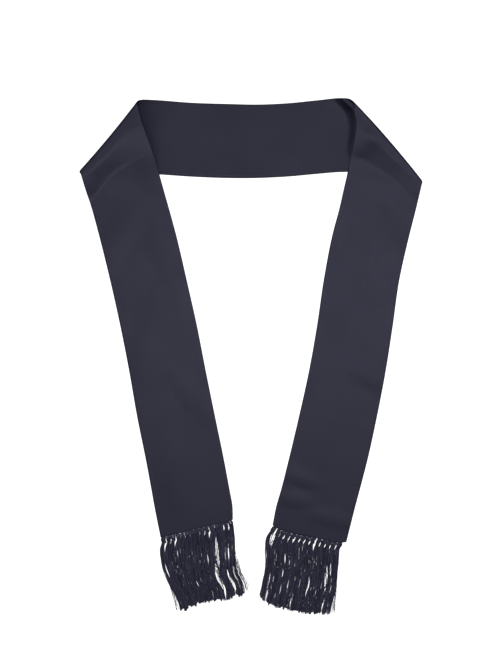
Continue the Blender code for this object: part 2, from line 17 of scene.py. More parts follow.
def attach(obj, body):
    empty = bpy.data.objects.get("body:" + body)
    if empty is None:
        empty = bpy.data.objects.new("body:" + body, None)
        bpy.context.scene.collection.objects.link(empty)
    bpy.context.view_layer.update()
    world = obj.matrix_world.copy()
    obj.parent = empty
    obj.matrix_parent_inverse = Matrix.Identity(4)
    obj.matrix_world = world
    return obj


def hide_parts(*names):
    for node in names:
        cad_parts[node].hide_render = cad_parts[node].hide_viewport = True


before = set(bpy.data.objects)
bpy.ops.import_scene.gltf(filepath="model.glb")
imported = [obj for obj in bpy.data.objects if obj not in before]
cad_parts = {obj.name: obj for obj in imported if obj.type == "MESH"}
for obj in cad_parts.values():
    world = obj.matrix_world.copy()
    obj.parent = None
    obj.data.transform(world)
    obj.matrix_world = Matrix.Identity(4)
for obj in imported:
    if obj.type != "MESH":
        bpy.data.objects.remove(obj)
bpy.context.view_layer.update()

# -------------------- the cloth, flat
# One long narrow tube of silk satin, pressed flat: two plies with a soft folded edge along each
# side. It is measured flat, from the middle of the neck band to the two hems.
FLAT_WIDTH = 0.1095
CLOTH_THICK = 0.0012
EDGE_SOFT = 0.0022  # from a long edge to where the two plies lie at their full thickness
HEM_SOFT = 0.0012
HEM_THICK = 0.45  # of the cloth's thickness, at the hem
LAYER_RISE = CLOTH_THICK + 0.0003  # an end that lies on the band is this much higher
DRAWN_FROM = (-0.00048, 0.00017)  # the laying-out's zero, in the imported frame


def eased(t):
    """0 to 1 with level ends, for t from 0 to 1."""
    t = np.clip(t, 0.0, 1.0)
    return t * t * (3.0 - 2.0 * t)


def mixed(a, b, t):
    return a + (b - a) * t


def curve_at(knots, values, at):
    """The smooth curve through the points (knots, values), read at each place in at."""
    knots, values = np.asarray(knots, float), np.asarray(values, float)
    slopes = np.gradient(values, knots)
    at = np.clip(np.asarray(at, float), knots[0], knots[-1])
    i = np.clip(np.searchsorted(knots, at) - 1, 0, len(knots) - 2)
    span = knots[i + 1] - knots[i]
    t = (at - knots[i]) / span
    start = t * (1 - t) ** 2 * span * slopes[i]
    end = -(t**2) * (1 - t) * span * slopes[i + 1]
    return mixed(values[i], values[i + 1], eased(t)) + start + end


def rows_of(columns, *rows):
    """The rows of a table, with its columns named in their order."""
    named = namedtuple("Row", columns)
    return [named(*row) for row in rows]


def read_rows(rows, column, at):
    """The smooth curve of a table's column over its first column, read at each place in at."""
    return curve_at([row[0] for row in rows], [getattr(row, column) for row in rows], at)


# -------------------- the neck band
# The stretch behind the neck, level on the table. Its two long edges bow a little, and it runs
# on under both ends to where the cloth turns over.
BAND_TOP = rows_of(
    "x y",
    (-0.1354, 0.3744), (-0.0914, 0.3711), (-0.0328, 0.3694), (0.0112, 0.3686),
    (0.0552, 0.3706), (0.0992, 0.3750), (0.1286, 0.3776),
)
BAND_BOTTOM = rows_of(
    "x y",
    (-0.1340, 0.2658), (-0.0914, 0.2629), (-0.0328, 0.2606), (0.0112, 0.2607),
    (0.0552, 0.2629), (0.0992, 0.2669), (0.1286, 0.2693), (0.1430, 0.2696),
)
BAND_ROWS = 150
BAND_CROWDING = 0.6  # 0 spaces the rows evenly, and 1 crowds them towards the folds
BAND_FREE = 0.030  # its ripples are at their full height this far from the two ends


def band_edge(points, start, end, x):
    """How far up one long edge of the band is at x, between its ends on the two folds."""
    places = [start, *points, end]
    return curve_at([place[0] for place in places], [place[1] for place in places], x)


def band_corner(side, share):
    """Where one edge of the band leaves the table at a fold."""
    return roll_point(side, share, -math.pi / 2)[:2]


def band_bottom_at(x):
    return band_edge(BAND_BOTTOM, band_corner("left", 1.0), band_corner("right", 1.0), x)


def band_shows(plan):
    """1 where the band is open to view, falling to 0 under the two ends."""
    left = plan[:, 0] - inner_edge_at("left", plan)
    right = inner_edge_at("right", plan) - plan[:, 0]
    return eased(left / BAND_FREE) * eased(right / BAND_FREE)


def band_grid(share):
    """Rows of the cloth's middle surface across the neck band, from the left fold to the right."""
    rows = []
    for step in range(BAND_ROWS + 1):
        p = step / BAND_ROWS
        p = mixed(p, (1 - math.cos(math.pi * p)) / 2, BAND_CROWDING)
        ends = []
        for edge, place in ((BAND_TOP, 0.0), (BAND_BOTTOM, 1.0)):
            start, end = band_corner("left", place), band_corner("right", place)
            x = mixed(start[0], end[0], p)
            ends.append([x, float(band_edge(edge, start, end, x))])
        plan = mixed(np.array(ends[0]), np.array(ends[1]), share[:, None])
        raised = ripple_height(plan) * band_shows(plan)
        raised = raised + tuck_height(plan) + brow_height(plan)
        rows.append(np.column_stack([plan, CLOTH_THICK / 2 + raised]))
    return rows


# -------------------- the two folds
# At each shoulder the strip turns over in a soft roll along a crest, so that its other face
# comes up. Beside the roll the cloth goes on level, and then falls to the layer below.
Fold = namedtuple("Fold", "hand top_x top_y low_x low_y swell roll_top roll_low wrap_top wrap_low")
FOLDS = {
    "left": Fold(
        hand=-1, top_x=-0.1617, top_y=0.3789, low_x=-0.2525, low_y=0.2689,
        swell=-0.0017, roll_top=0.0038, roll_low=0.0041, wrap_top=0.0125, wrap_low=0.0060,
    ),
    "right": Fold(
        hand=1, top_x=0.1387, top_y=0.3829, low_x=0.2528, low_y=0.2544,
        swell=0.0027, roll_top=0.0067, roll_low=0.00135, wrap_top=0.0235, wrap_low=0.0060,
    ),
}
ROLL_STRETCH = 1.15  # a roll is this much deeper than it is high
ROLL_SQUARE = 0.5  # 1 is a round roll, and less is squarer above its middle
ROLL_STEPS = 12  # rows in each half of a roll
# The fall at shares of the crest from its top down: how far in from the crest it starts, and how
# long it is. The right roll also stands a little higher along its middle than at its top.
FALLS = {
    "left": rows_of(
        "down start run higher",
        (0.00, 0.0297, 0.0480, 0.0),
        (0.30, 0.0185, 0.0500, 0.0),
        (0.43, 0.0125, 0.0500, 0.0),
        (0.54, 0.0130, 0.0410, 0.0),
        (0.63, 0.0135, 0.0340, 0.0),
        (0.72, 0.0130, 0.0300, 0.0),
        (0.79, 0.0120, 0.0290, 0.0),
        (0.86, 0.0110, 0.0295, 0.0),
        (0.92, 0.0090, 0.0315, 0.0),
        (1.00, 0.0060, 0.0370, 0.0),
    ),
    "right": rows_of(
        "down start run higher",
        (0.00, 0.0288, 0.0530, 0.0),
        (0.30, 0.0190, 0.0460, 0.0008),
        (0.43, 0.0140, 0.0440, 0.0022),
        (0.54, 0.0105, 0.0390, 0.0014),
        (0.63, 0.0095, 0.0350, 0.0013),
        (0.72, 0.0085, 0.0310, 0.0013),
        (0.79, 0.0065, 0.0290, 0.0013),
        (0.86, 0.0050, 0.0280, 0.0015),
        (1.00, 0.0040, 0.0260, 0.0014),
    ),
}
FALL_SOFT = 0.2  # of a fall's run, at each end of its even slope
# Beside the right fold the band rises steeply off the table into the roll, from a foot line that
# shows. Beside the left fold it stands a little off the table along a brow, and goes down from
# there under the end that presses on it.
TUCK_FOOT = rows_of(
    "y x slope",
    (0.2600, 0.1405, 0.31),
    (0.3020, 0.1400, 0.31),
    (0.3490, 0.1385, 0.31),
    (0.3577, 0.1351, 0.34),
    (0.3666, 0.1272, 0.40),
    (0.3800, 0.1150, 0.43),
)
TUCK_CURVE = 1.5  # 1 is a straight slope, and more is steeper towards the roll
TUCK_LOW = 0.272  # it starts from nothing at this height up the scarf
TUCK_FULL = 0.300
TUCK_BACK = 0.042  # under the end, back down to the table
BROW_X = -0.1295
BROW_SLOPE = 0.20  # where it goes under the end
BROW_CURVE = 1.2  # 0 is an even slope, and more is flatter towards the brow
BROW_RUN = 0.110  # from the brow to where the band lies flat
BROW_UNDER = 0.003  # how far under the end the brow's slope goes on


def tuck_height(plan):
    """How far the lower layer has risen off the table towards the right fold."""
    foot = read_rows(TUCK_FOOT, "x", plan[..., 1])
    slope = read_rows(TUCK_FOOT, "slope", plan[..., 1])
    run = inner_edge_at("right", plan) - foot
    high = slope * run * eased((plan[..., 1] - TUCK_LOW) / (TUCK_FULL - TUCK_LOW))
    into = plan[..., 0] - foot
    rise = np.clip(into / run, 0.0, 1.0) ** TUCK_CURVE
    return high * rise * (1 - eased((into - run) / TUCK_BACK))


def brow_height(plan):
    """How far the band stands off the table beside the left fold."""
    run = BROW_X - inner_edge_at("left", plan) + BROW_UNDER
    aside = plan[..., 0] - BROW_X
    power = BROW_CURVE + 1
    down = 1 - np.clip(-aside / run, 0.0, 1.0) ** power
    return BROW_SLOPE * run / power * np.where(aside < 0, down, eased(1 - aside / BROW_RUN))


def fold_axes(side):
    """(top of the crest, unit vector down the crest, unit vector in from it, crest length)."""
    fold = FOLDS[side]
    top = np.array([fold.top_x, fold.top_y])
    crest = np.array([fold.low_x, fold.low_y]) - top
    length = np.linalg.norm(crest)
    crest = crest / length
    return top, crest, fold.hand * np.array([crest[1], -crest[0]]), length


def crest_swell(side, t):
    """How far the crest bows out at a share of its length."""
    return FOLDS[side].swell * 4 * t * (1 - t)


def roll_radius(side, t):
    fold = FOLDS[side]
    return mixed(fold.roll_top, fold.roll_low, t) + read_rows(FALLS[side], "higher", t) / 2


def roll_point(side, share, turn):
    """A point of the cloth's middle surface on a roll. share runs from the crest's top to its
    low end, and turn from -pi/2, where the band leaves the table, to pi/2 on top."""
    top, crest, inward, length = fold_axes(side)
    done = turn / math.pi + 0.5
    first = FOLDS[side].wrap_top * done
    last = length - FOLDS[side].wrap_low * (1 - done)
    down = mixed(first, last, share)
    t = down / length
    radius = roll_radius(side, t)
    power = ROLL_SQUARE if turn > 0 else 1.0
    out, up = np.cos(turn) ** power, abs(math.sin(turn)) ** power * np.sign(turn)
    deep = CLOTH_THICK / 2 + ROLL_STRETCH * radius * (1 - out) - crest_swell(side, t)
    plan = top + np.multiply.outer(down, crest) + np.multiply.outer(deep, inward)
    z = CLOTH_THICK / 2 + radius * (1 + up)
    return np.concatenate([plan, np.asarray(z)[..., None]], axis=-1)


def roll_rows(side, share):
    """Rows round a roll, from the band to the end, without the flat row at each side of it. The
    right roll starts from the raised lower layer."""
    rows = []
    for turn in np.linspace(-math.pi / 2, math.pi / 2, 2 * ROLL_STEPS + 1)[1:-1]:
        row = roll_point(side, share, turn)
        if side == "right":
            foot = roll_point(side, share, -math.pi / 2)
            row[..., 2] += tuck_height(foot) * (1 - math.sin(turn)) / 2
        rows.append(row)
    return rows


# -------------------- the two hanging ends
# Each end lies on the band, steps down off its lower edge and runs down the table to its hem,
# wandering a little. Its inner edge stands off the band beside the roll.
END_STATIONS = {
    "left": rows_of(
        "y inner outer",
        (0.3371, -0.1574, None),
        (0.3204, -0.1509, None),
        (0.2661, -0.1340, None),
        (0.2425, -0.1274, -0.2418),
        (0.2205, -0.1212, -0.2347),
        (0.1765, -0.1092, -0.2226),
        (0.1105, -0.0938, -0.2063),
        (0.0445, -0.0790, -0.1916),
        (-0.0215, -0.0661, -0.1786),
        (-0.0875, -0.0527, -0.1671),
        (-0.1535, -0.0391, -0.1538),
        (-0.1975, -0.0309, -0.1456),
        (-0.2195, -0.0270, -0.1417),
    ),
    "right": rows_of(
        "y inner outer",
        (0.3428, 0.1533, None),
        (0.3073, 0.1486, None),
        (0.2630, 0.1404, None),
        (0.2425, 0.1357, 0.2484),
        (0.2205, 0.1308, 0.2435),
        (0.1765, 0.1193, 0.2324),
        (0.1105, 0.1067, 0.2176),
        (0.0445, 0.0970, 0.2082),
        (-0.0215, 0.0853, 0.1979),
        (-0.0875, 0.0708, 0.1853),
        (-0.1535, 0.0551, 0.1709),
        (-0.1975, 0.0439, 0.1595),
        (-0.2195, 0.0375, 0.1536),
    ),
}
Hem = namedtuple("Hem", "inner_x inner_y outer_x outer_y")
HEMS = {
    "left": Hem(inner_x=-0.0265, inner_y=-0.2393, outer_x=-0.1324, outer_y=-0.2660),
    "right": Hem(inner_x=0.0318, inner_y=-0.2481, outer_x=0.1403, outer_y=-0.2720),
}
# How far a hem has sagged below the line between its two corners, at shares of its width from
# the inner edge.
HEM_SAGS = {
    "left": rows_of(
        "share low",
        (0.00, 0.0008), (0.10, 0.0022), (0.30, 0.0015), (0.60, 0.0008), (0.80, 0.0010),
        (1.00, 0.0),
    ),
    "right": rows_of(
        "share low",
        (0.00, 0.0), (0.07, 0.0033), (0.20, 0.0054), (0.45, 0.0058), (0.65, 0.0049),
        (0.88, 0.0042), (0.96, 0.0028), (1.00, 0.0010),
    ),
}
SAG_RUN = 0.08  # of an end's length
END_ROWS = 200
HEM_ROWS = (0.7, 0.35, 0.12, 0.0)  # the last rows, in HEM_SOFTs from the hem
END_LONG = 0.57  # about the length of an end, from which those are spaced
FAN_SHARE = 0.45  # of an end's length, in which its rows turn from the crest to the hem
STEP_START = 0.006
STEP_RUN = 0.034
EDGE_LIFT = {"left": 0.0019, "right": 0.0009}
EDGE_LIFT_SHARE = 0.40  # of the width


def end_edge(side, which):
    """(heights, places) down one long edge of an end, from bottom to top as curve_at needs."""
    share = 0.0 if which == "inner" else 1.0
    top = roll_point(side, share, math.pi / 2)
    bottom = (getattr(HEMS[side], which + "_y"), getattr(HEMS[side], which + "_x"))
    middle = [(row.y, getattr(row, which)) for row in END_STATIONS[side]]
    middle = [pair for pair in middle if pair[1] is not None]
    return zip(*sorted([(top[1], top[0]), *middle, bottom]))


def inner_edge_at(side, plan):
    """Where an end's inner edge is, level with each place."""
    return curve_at(*end_edge(side, "inner"), plan[..., 1])


def hem_axes(side):
    """(start of the hem on its left, unit vector along it, unit vector down the fringe)."""
    hem = HEMS[side]
    ends = sorted([(hem.inner_x, hem.inner_y), (hem.outer_x, hem.outer_y)])
    start, end = np.array(ends[0]), np.array(ends[1])
    along = (end - start) / np.linalg.norm(end - start)
    return start + DRAWN_FROM, along, np.array([along[1], -along[0]])


def hem_sag(side, share):
    return read_rows(HEM_SAGS[side], "low", share)


def even_slope(t):
    """From 0 to 1 at an even slope with a soft start and end."""
    t = np.clip(t, 0.0, 1.0)
    near = np.minimum(t, 1 - t)
    rise = np.where(near < FALL_SOFT, near**2 / (2 * FALL_SOFT), near - FALL_SOFT / 2)
    rise = rise / (1 - FALL_SOFT)
    return np.where(t < 0.5, rise, 1 - rise)


def end_height(side, plan, share):
    """The middle surface's height on an end, over the roll, the band and then the table."""
    top, crest, inward, length = fold_axes(side)
    t = np.clip((plan - top) @ crest / length, 0.0, 1.0)
    deep = (plan - top) @ inward + crest_swell(side, t)
    start, run = (read_rows(FALLS[side], column, t) for column in ("start", "run"))
    on_roll = 1 - even_slope((deep - start) / run)
    past_band = band_bottom_at(plan[..., 0]) - plan[..., 1] - STEP_START
    on_band = 1 - eased(past_band / STEP_RUN)
    near_inner = 1 - eased(share / EDGE_LIFT_SHARE)
    lift = EDGE_LIFT[side] * near_inner * (1 - eased(past_band / (2 * STEP_RUN)))
    rest = LAYER_RISE * on_band + lift + ripple_height(plan)
    if side == "right":
        rest = rest + tuck_height(plan)
    return CLOTH_THICK / 2 + mixed(rest, 2 * roll_radius(side, t), on_roll)


def end_grid(side, share):
    """Rows of the cloth's middle surface down an end, from its fold to its hem."""
    rows = []
    inner_ys, inner_xs = end_edge(side, "inner")
    outer_ys, outer_xs = end_edge(side, "outer")
    _, _, drop = hem_axes(side)
    steps = np.linspace(0, 1, END_ROWS + 1)[:-1]
    for p in [*steps, *(1 - np.array(HEM_ROWS) * HEM_SOFT / END_LONG)]:
        outer_y = mixed(outer_ys[-1], outer_ys[0], p)
        slant = mixed(inner_ys[-1] - outer_ys[-1], inner_ys[0] - outer_ys[0], eased(p / FAN_SHARE))
        inner_y = outer_y + slant
        inner = np.array([float(curve_at(inner_ys, inner_xs, inner_y)), inner_y])
        outer = np.array([float(curve_at(outer_ys, outer_xs, outer_y)), outer_y])
        sagged = hem_sag(side, share) * eased(1 - (1 - p) / SAG_RUN)
        plan = mixed(inner, outer, share[:, None]) + np.multiply.outer(sagged, drop)
        rows.append(np.column_stack([plan, end_height(side, plan, share)]))
    return rows


# -------------------- creases
# Soft ripples where the cloth was handled and laid. Each raises it at a centre, over a half
# length and a half width, and runs at a turn from +X.
RIPPLES = rows_of(
    "x y half_length half_width turn height",
    (-0.030, 0.330, 0.090, 0.030, 8, 0.0005),
    (0.060, 0.292, 0.080, 0.028, -14, 0.0005),
    (-0.196, 0.170, 0.075, 0.030, 60, 0.0006),
    (-0.118, 0.128, 0.090, 0.028, 108, 0.0007),
    (-0.150, 0.020, 0.100, 0.032, 75, 0.0007),
    (-0.085, -0.058, 0.068, 0.026, 125, 0.0007),
    (-0.115, -0.165, 0.090, 0.030, 95, 0.0008),
    (0.205, 0.165, 0.082, 0.030, 118, 0.0007),
    (0.132, 0.080, 0.090, 0.028, 70, 0.0007),
    (0.172, -0.028, 0.060, 0.022, 150, 0.0009),
    (0.100, -0.105, 0.090, 0.030, 82, 0.0008),
    (0.072, -0.178, 0.046, 0.017, 160, 0.0006),
    (0.064, -0.210, 0.040, 0.017, 172, 0.0006),
    (0.118, -0.238, 0.052, 0.018, -12, 0.0005),
)


def ripple_height(plan):
    """How far the ripples raise the cloth at each place."""
    total = np.zeros(plan.shape[:-1])
    for ripple in RIPPLES:
        turn = math.radians(ripple.turn)
        x, y = plan[..., 0] - ripple.x, plan[..., 1] - ripple.y
        along = x * math.cos(turn) + y * math.sin(turn)
        aside = -x * math.sin(turn) + y * math.cos(turn)
        away = (along / ripple.half_length) ** 2 + (aside / ripple.half_width) ** 2
        total += ripple.height * (1 - np.clip(away, 0.0, 1.0)) ** 2
    return total


# -------------------- the cloth, made and laid
# The whole strip is one piece: its middle surface from hem to hem gets its two plies, closed
# round the soft edges. The ply that shows on the band is below on the ends.
INNER_COLUMNS = 40
EDGE_COLUMNS = np.array([0.0, 0.0002, 0.0005, 0.0010, 0.0016, 0.0023])


def across_places():
    """Distances across the flat cloth, closer together at its two edges."""
    middle = np.linspace(EDGE_COLUMNS[-1], FLAT_WIDTH - EDGE_COLUMNS[-1], INNER_COLUMNS)
    return np.concatenate([EDGE_COLUMNS[:-1], middle, FLAT_WIDTH - EDGE_COLUMNS[-2::-1]])


def thickness_at(from_edge, soft):
    """The cloth's share of its full thickness at a distance from a folded edge."""
    short = 1 - np.clip(from_edge / soft, 0.0, 1.0)
    return np.sqrt(1 - short**2)


def laid_strip():
    """(points, flat places) of the strip's middle surface, as grids of rows by columns."""
    places = across_places()
    share = places / FLAT_WIDTH
    rows = end_grid("left", share)[::-1]
    rows += roll_rows("left", share)[::-1]
    middle_row = len(rows) + BAND_ROWS // 2
    rows += band_grid(share)
    rows += roll_rows("right", share)
    rows += end_grid("right", share)
    points = np.array(rows)
    points[..., :2] += DRAWN_FROM
    steps = np.linalg.norm(np.diff(points, axis=0), axis=2)
    along = np.concatenate([np.zeros((1, len(share))), np.cumsum(steps, axis=0)])
    along -= along[middle_row]
    return points, np.dstack([np.broadcast_to(places, along.shape), along])


def placed(name, data):
    """A new object in the scene."""
    made = bpy.data.objects.new(name, data)
    bpy.context.scene.collection.objects.link(made)
    return made


def closed_cloth(name, points, flat):
    """A closed mesh of two plies round the middle surface, with its flat places as a UV map."""
    along = np.gradient(points, axis=0, edge_order=2)
    across = np.gradient(points, axis=1, edge_order=2)
    normal = np.cross(along, across)
    normal /= np.linalg.norm(normal, axis=2, keepdims=True)
    rows, columns = points.shape[:2]
    from_edge = np.minimum(flat[..., 0], FLAT_WIDTH - flat[..., 0])
    hem_down = np.minimum(flat[..., 1] - flat[:1, :, 1], flat[-1:, :, 1] - flat[..., 1])
    hem_share = mixed(HEM_THICK, 1.0, thickness_at(hem_down, HEM_SOFT))
    half = CLOTH_THICK / 2 * thickness_at(from_edge, EDGE_SOFT) * hem_share
    over = points + normal * half[..., None]
    under = points - normal * half[..., None]
    ring = 2 * columns - 2
    loop = np.concatenate([over, under[:, -2:0:-1]], axis=1)
    loop_flat = np.concatenate([flat, flat[:, -2:0:-1]], axis=1)
    index = np.arange(rows * ring).reshape(rows, ring)
    following = np.roll(index, -1, axis=1)
    quads = np.stack([index[:-1], index[1:], following[1:], following[:-1]], axis=-1)
    faces = quads.reshape(-1, 4).tolist()
    shaded_plies = np.broadcast_to(np.arange(ring) >= columns - 1, (rows - 1, ring)).ravel().tolist()
    for row, turned in ((0, False), (rows - 1, True)):
        for i in range(columns - 1):
            low, high = index[row, -i % ring], index[row, -(i + 1) % ring]
            face = [index[row, i], index[row, i + 1], high, low]
            face = [v for n, v in enumerate(face) if v not in face[:n]]
            faces.append(face[::-1] if turned else face)
            shaded_plies.append(False)
    mesh = bpy.data.meshes.new(name)
    mesh.from_pydata(loop.reshape(-1, 3).tolist(), [], faces)
    layer = mesh.uv_layers.new(name="flat_cloth")
    corners = np.empty(len(mesh.loops), dtype=np.int32)
    mesh.loops.foreach_get("vertex_index", corners)
    layer.uv.foreach_set("vector", loop_flat.reshape(-1, 2)[corners].astype(np.float32).ravel())
    # Marks the ply that shows on the band, which the satin paints a darker blue as shade for its
    # duller sheen there.
    shaded_ply = mesh.attributes.new("shaded_ply", "FLOAT", "FACE")
    shaded_ply.data.foreach_set("value", np.array(shaded_plies, dtype=np.float32))
    mesh.shade_smooth()
    return placed(name, mesh)


# Midnight blue silk. The satin's floats run along the strip, and the dye is a little uneven.
END_BLUE = (0.0212, 0.0212, 0.0380, 1.0)  # the ply that shows on the two ends
# Painted shade: the band's ply is given a darker blue in place of the satin's duller sheen there.
BAND_SHADED_BLUE = (0.0106, 0.0114, 0.0238, 1.0)  # the other one
FLOAT_PITCH = 0.00042
RIB_PITCH = 0.00060
RIB_HIGH = 0.45  # of a float's height
SATIN_ROUGH = 0.38
SATIN_UNEVEN = 0.18  # how much the roughness wanders from patch to patch
SILK = {
    "Specular IOR Level": 0.36,
    "Specular Tint": (0.70, 0.70, 1.0, 1.0),
    "Sheen Weight": 0.02,
    "Sheen Roughness": 0.45,
    "Sheen Tint": (0.62, 0.66, 0.85, 1.0),
}


def new_group(kind, name, inputs, outputs):
    """(tree, what it is given, what it puts out) for an empty node group with named sockets,
    each input with its starting value if it has one."""
    tree = bpy.data.node_groups.new(name, kind)
    for socket, holds, *value in inputs:
        made = tree.interface.new_socket(socket, socket_type="NodeSocket" + holds)
        if value:
            made.default_value = value[0]
    for socket, holds in outputs:
        tree.interface.new_socket(socket, in_out="OUTPUT", socket_type="NodeSocket" + holds)
    given = tree.nodes.new("NodeGroupInput").outputs
    return tree, given, tree.nodes.new("NodeGroupOutput").inputs


def put(tree, inputs, values):
    """Sets inputs by name or number, each to a plain value or to another node's output."""
    for name, value in values.items():
        if isinstance(value, bpy.types.NodeSocket):
            tree.links.new(value, inputs[name])
        else:
            inputs[name].default_value = value


def add_node(tree, kind, values=(), **settings):
    """The outputs of a new node. Its settings come first, as they decide which inputs it has."""
    node = tree.nodes.new(kind)
    for name, value in settings.items():
        setattr(node, name, value)
    put(tree, node.inputs, dict(values))
    return node.outputs


def add_math(tree, operation, *values):
    """The output of a new Math node."""
    return add_node(tree, "ShaderNodeMath", enumerate(values), operation=operation)[0]


def uneven_dye():
    """A node group that lightens and darkens a colour in soft uneven patches."""
    tree, given, result = new_group(
        "ShaderNodeTree",
        "uneven_dye",
        [("Colour", "Color"), ("Vector", "Vector")]
        + [("Patch Scale", "Float", 12.0), ("Unevenness", "Float", 0.1)],
        [("Colour", "Color"), ("Patch", "Float")],
    )
    patches = {"Vector": given["Vector"], "Scale": given["Patch Scale"]}
    patches |= {"Detail": 5.0, "Roughness": 0.62}
    noise = add_node(tree, "ShaderNodeTexNoise", patches)["Fac"]
    patch = add_math(tree, "SUBTRACT", noise, 0.5)
    share = add_math(tree, "MULTIPLY_ADD", patch, given["Unevenness"], 1.0)
    colour = {0: given["Colour"], "Scale": share}
    colour = add_node(tree, "ShaderNodeVectorMath", colour, operation="SCALE")[0]
    put(tree, result, {"Colour": colour, "Patch": patch})


def satin_weave():
    """A node group for satin: a height of long floats along the strip over fine cross ribs."""
    tree, given, result = new_group(
        "ShaderNodeTree",
        "satin_weave",
        [
            ("Flat Place", "Vector"),
            ("Float Pitch", "Float", FLOAT_PITCH),
            ("Rib Pitch", "Float", RIB_PITCH),
        ],
        [("Height", "Float")],
    )
    place = add_node(tree, "ShaderNodeSeparateXYZ", {0: given["Flat Place"]})
    waves = []
    for axis, pitch in (("X", "Float Pitch"), ("Y", "Rib Pitch")):
        turns = add_math(tree, "DIVIDE", place[axis], given[pitch])
        waves.append(add_math(tree, "COSINE", add_math(tree, "MULTIPLY", turns, 2 * math.pi)))
    put(tree, result, {"Height": add_math(tree, "MULTIPLY_ADD", waves[1], RIB_HIGH, waves[0])})


def new_material(name, values):
    """(material, its tree, its shader's inputs), with the shader's plain values set."""
    material = bpy.data.materials.new(name)
    material.use_nodes = True
    tree = material.node_tree
    shader = tree.nodes["Principled BSDF"].inputs
    put(tree, shader, values)
    return material, tree, shader


def dyed(tree, blues, tone, place, scale, uneven):
    """The uneven dye's outputs in a material: between two blues by tone, patched by place."""
    blues = {"Factor": tone, "A": blues[0], "B": blues[1]}
    blue = add_node(tree, "ShaderNodeMix", blues, data_type="RGBA")["Result"]
    values = {"Colour": blue, "Vector": place, "Patch Scale": scale, "Unevenness": uneven}
    return add_node(tree, "ShaderNodeGroup", values, node_tree=bpy.data.node_groups["uneven_dye"])


def satin_material():
    """Satin of one blue on the ends and a darker one on the band, along the flat cloth. The band's
    darker blue is painted shade, standing in for the satin's duller sheen across the band.
    """
    material, tree, shader = new_material("midnight_satin", {"Roughness": SATIN_ROUGH, **SILK})
    place = add_node(tree, "ShaderNodeUVMap", uv_map="flat_cloth")["UV"]
    shaded_ply = add_node(tree, "ShaderNodeAttribute", attribute_name="shaded_ply")["Fac"]
    # The band's ply takes the darker blue, which is painted shade for its duller sheen.
    dye = dyed(tree, (END_BLUE, BAND_SHADED_BLUE), shaded_ply, place, scale=16.0, uneven=0.40)
    rough = add_math(tree, "MULTIPLY_ADD", dye["Patch"], SATIN_UNEVEN, SATIN_ROUGH)
    group = bpy.data.node_groups["satin_weave"]
    height = add_node(tree, "ShaderNodeGroup", {"Flat Place": place}, node_tree=group)["Height"]
    relief = {"Strength": 0.25, "Distance": 0.00006, "Height": height}
    normal = add_node(tree, "ShaderNodeBump", relief)["Normal"]
    put(tree, shader, {"Base Color": dye["Colour"], "Roughness": rough, "Normal": normal})
    return material


uneven_dye()
satin_weave()
cloth = closed_cloth("scarf_cloth", *laid_strip())
cloth.data.materials.append(satin_material())
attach(cloth, "root")
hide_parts("neck_band", "left_end", "right_end")

# -------------------- where the fringes lie
# A fringe starts at the hem and runs down the scarf. Its two sides are given along the hem's
# line at each distance down it, with how far it reaches at each share of its width. It opens in
# partings, where the threads have been pushed aside, and in a teardrop below the knots between
# some of its tassels, counted from the left, down to a distance from the hem. Between tassels
# with open roots the table shows right up to the hem.
TASSELS = {"left": 15, "right": 14}
SIDES = {
    "left": rows_of(
        "down near far",
        (0.000, -0.0002, 0.1085), (0.007, -0.0007, 0.1092), (0.016, -0.0055, 0.1078),
        (0.029, -0.0080, 0.1056), (0.047, -0.0081, 0.1006), (0.065, -0.0058, 0.0980),
        (0.082, -0.0026, 0.0977), (0.092, 0.0002, 0.1005), (0.113, 0.0012, 0.0995),
    ),
    "right": rows_of(
        "down near far",
        (0.000, -0.0006, 0.1067), (0.007, -0.0018, 0.1060), (0.016, -0.0048, 0.1049),
        (0.025, -0.0054, 0.1062), (0.038, -0.0026, 0.1078), (0.055, 0.0010, 0.1100),
        (0.073, 0.0024, 0.1122), (0.091, 0.0032, 0.1108), (0.117, 0.0032, 0.1112),
    ),
}
REACHES = {
    "left": rows_of(
        "place long",
        (0.00, 0.1125), (0.06, 0.1128), (0.18, 0.1095), (0.41, 0.1096),
        (0.61, 0.1108), (0.78, 0.1135), (0.84, 0.1085), (0.94, 0.1125),
        (1.00, 0.1094),
    ),
    "right": rows_of(
        "place long",
        (0.00, 0.1065), (0.07, 0.1101), (0.16, 0.1145), (0.26, 0.1164),
        (0.39, 0.1168), (0.66, 0.1162), (0.82, 0.1125), (1.00, 0.1080),
    ),
}
PARTINGS = {
    "left": rows_of(
        "place start end wide",
        (0.755, 0.012, 0.080, 0.0072), (0.715, 0.044, 0.118, 0.0087), (0.868, 0.062, 0.120, 0.0045),
        (0.918, 0.020, 0.075, 0.0025), (0.952, 0.036, 0.118, 0.0021), (0.875, 0.034, 0.062, 0.0015),
        (0.630, 0.034, 0.062, 0.0022), (0.507, 0.038, 0.056, 0.0016), (0.386, 0.070, 0.088, 0.0021),
        (0.454, 0.066, 0.086, 0.0019), (0.230, 0.021, 0.038, 0.0021), (0.045, 0.026, 0.078, 0.0019),
    ),
    "right": rows_of(
        "place start end wide",
        (0.080, 0.002, 0.040, 0.0058), (0.012, 0.030, 0.050, 0.0014), (0.086, 0.060, 0.125, 0.0036),
        (0.136, 0.066, 0.094, 0.0014), (0.268, 0.032, 0.056, 0.0022), (0.250, 0.054, 0.076, 0.0027),
        (0.260, 0.076, 0.108, 0.0019), (0.328, 0.040, 0.058, 0.0015), (0.348, 0.070, 0.092, 0.0015),
        (0.434, 0.090, 0.122, 0.0024), (0.403, 0.042, 0.056, 0.0016), (0.470, 0.045, 0.058, 0.0016),
        (0.617, 0.054, 0.092, 0.0034), (0.738, 0.073, 0.091, 0.0021), (0.894, 0.030, 0.060, 0.0025),
        (0.850, 0.036, 0.088, 0.0064), (0.880, 0.082, 0.116, 0.0025),
    ),
}
